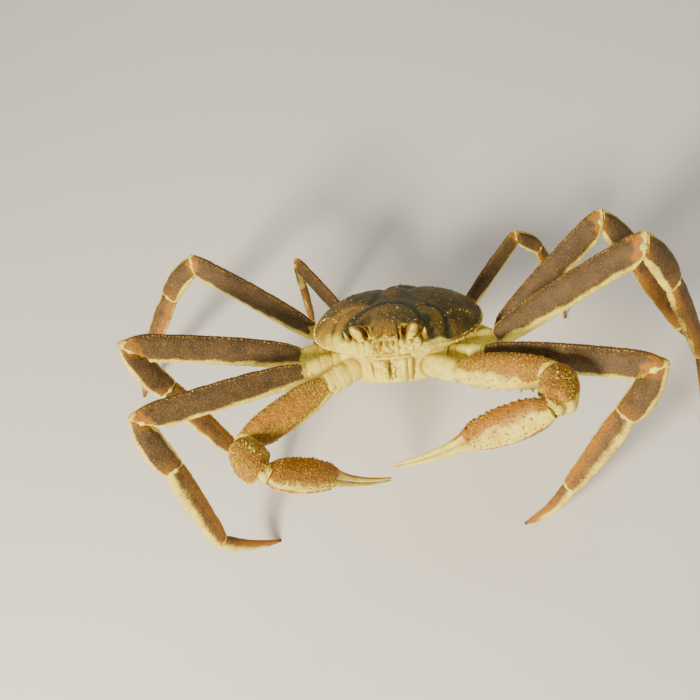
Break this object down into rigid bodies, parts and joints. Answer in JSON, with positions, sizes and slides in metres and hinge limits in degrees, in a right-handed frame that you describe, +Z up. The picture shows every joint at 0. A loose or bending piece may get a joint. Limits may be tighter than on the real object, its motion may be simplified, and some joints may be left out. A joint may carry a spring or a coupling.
{
  "type": "snow crab",
  "caption": "Still life-size model of a large male snow crab standing on its claw tips, nose raised, with both claws folded in before its mouth.",
  "frame": {"origin": "middle of the whole crab's box in plan, at the level of the claw tips on the floor", "axes": "+X across the legs towards the crab's left, -Y the way it faces, +Z up"},
  "size_m": [0.4279, 0.2028, 0.1572],
  "materials": {
    "back_shell": "matt granular crab shell, olive brown with orange-brown patches",
    "limb_shell": "satin granular crab shell, pinkish brown with cream lower edges",
    "limb_tip_shell": "satin crab shell, orange brown to cream at the tips",
    "pale_shell": "satin cream crab shell of the underside and limb bases",
    "eye": "glossy amber eye on a cream stalk"
  },
  "bodies": {
    "root": {"carapace": "back_shell", "thorax": "pale_shell", "abdomen": "pale_shell", "eye_L": "eye", "antenna_L": "limb_tip_shell", "maxilliped_L": "pale_shell", "claw_L_ischium": "pale_shell", "claw_L_merus": "limb_shell", "claw_L_carpus": "limb_shell", "claw_L_palm": "limb_tip_shell", "claw_L_finger": "limb_tip_shell", "leg_L2_ischium": "pale_shell", "leg_L2_merus": "limb_shell", "leg_L2_carpus": "limb_shell", "leg_L2_propodus": "limb_tip_shell", "leg_L2_dactylus": "limb_tip_shell", "leg_L3_ischium": "pale_shell", "leg_L3_merus": "limb_shell", "leg_L3_carpus": "limb_shell", "leg_L3_propodus": "limb_tip_shell", "leg_L3_dactylus": "limb_tip_shell", "leg_L4_ischium": "pale_shell", "leg_L4_merus": "limb_shell", "leg_L4_carpus": "limb_shell", "leg_L4_propodus": "limb_tip_shell", "leg_L4_dactylus": "limb_tip_shell", "leg_L5_ischium": "pale_shell", "leg_L5_merus": "limb_shell", "leg_L5_carpus": "limb_shell", "leg_L5_propodus": "limb_tip_shell", "leg_L5_dactylus": "limb_tip_shell", "eye_R": "eye", "antenna_R": "limb_tip_shell", "maxilliped_R": "pale_shell", "claw_R_ischium": "pale_shell", "claw_R_merus": "limb_shell", "claw_R_carpus": "limb_shell", "claw_R_palm": "limb_tip_shell", "claw_R_finger": "limb_tip_shell", "leg_R2_ischium": "pale_shell", "leg_R2_merus": "limb_shell", "leg_R2_carpus": "limb_shell", "leg_R2_propodus": "limb_tip_shell", "leg_R2_dactylus": "limb_tip_shell", "leg_R3_ischium": "pale_shell", "leg_R3_merus": "limb_shell", "leg_R3_carpus": "limb_shell", "leg_R3_propodus": "limb_tip_shell", "leg_R3_dactylus": "limb_tip_shell", "leg_R4_ischium": "pale_shell", "leg_R4_merus": "limb_shell", "leg_R4_carpus": "limb_shell", "leg_R4_propodus": "limb_tip_shell", "leg_R4_dactylus": "limb_tip_shell", "leg_R5_ischium": "pale_shell", "leg_R5_merus": "limb_shell", "leg_R5_carpus": "limb_shell", "leg_R5_propodus": "limb_tip_shell", "leg_R5_dactylus": "limb_tip_shell"}
  },
  "joints": []
}
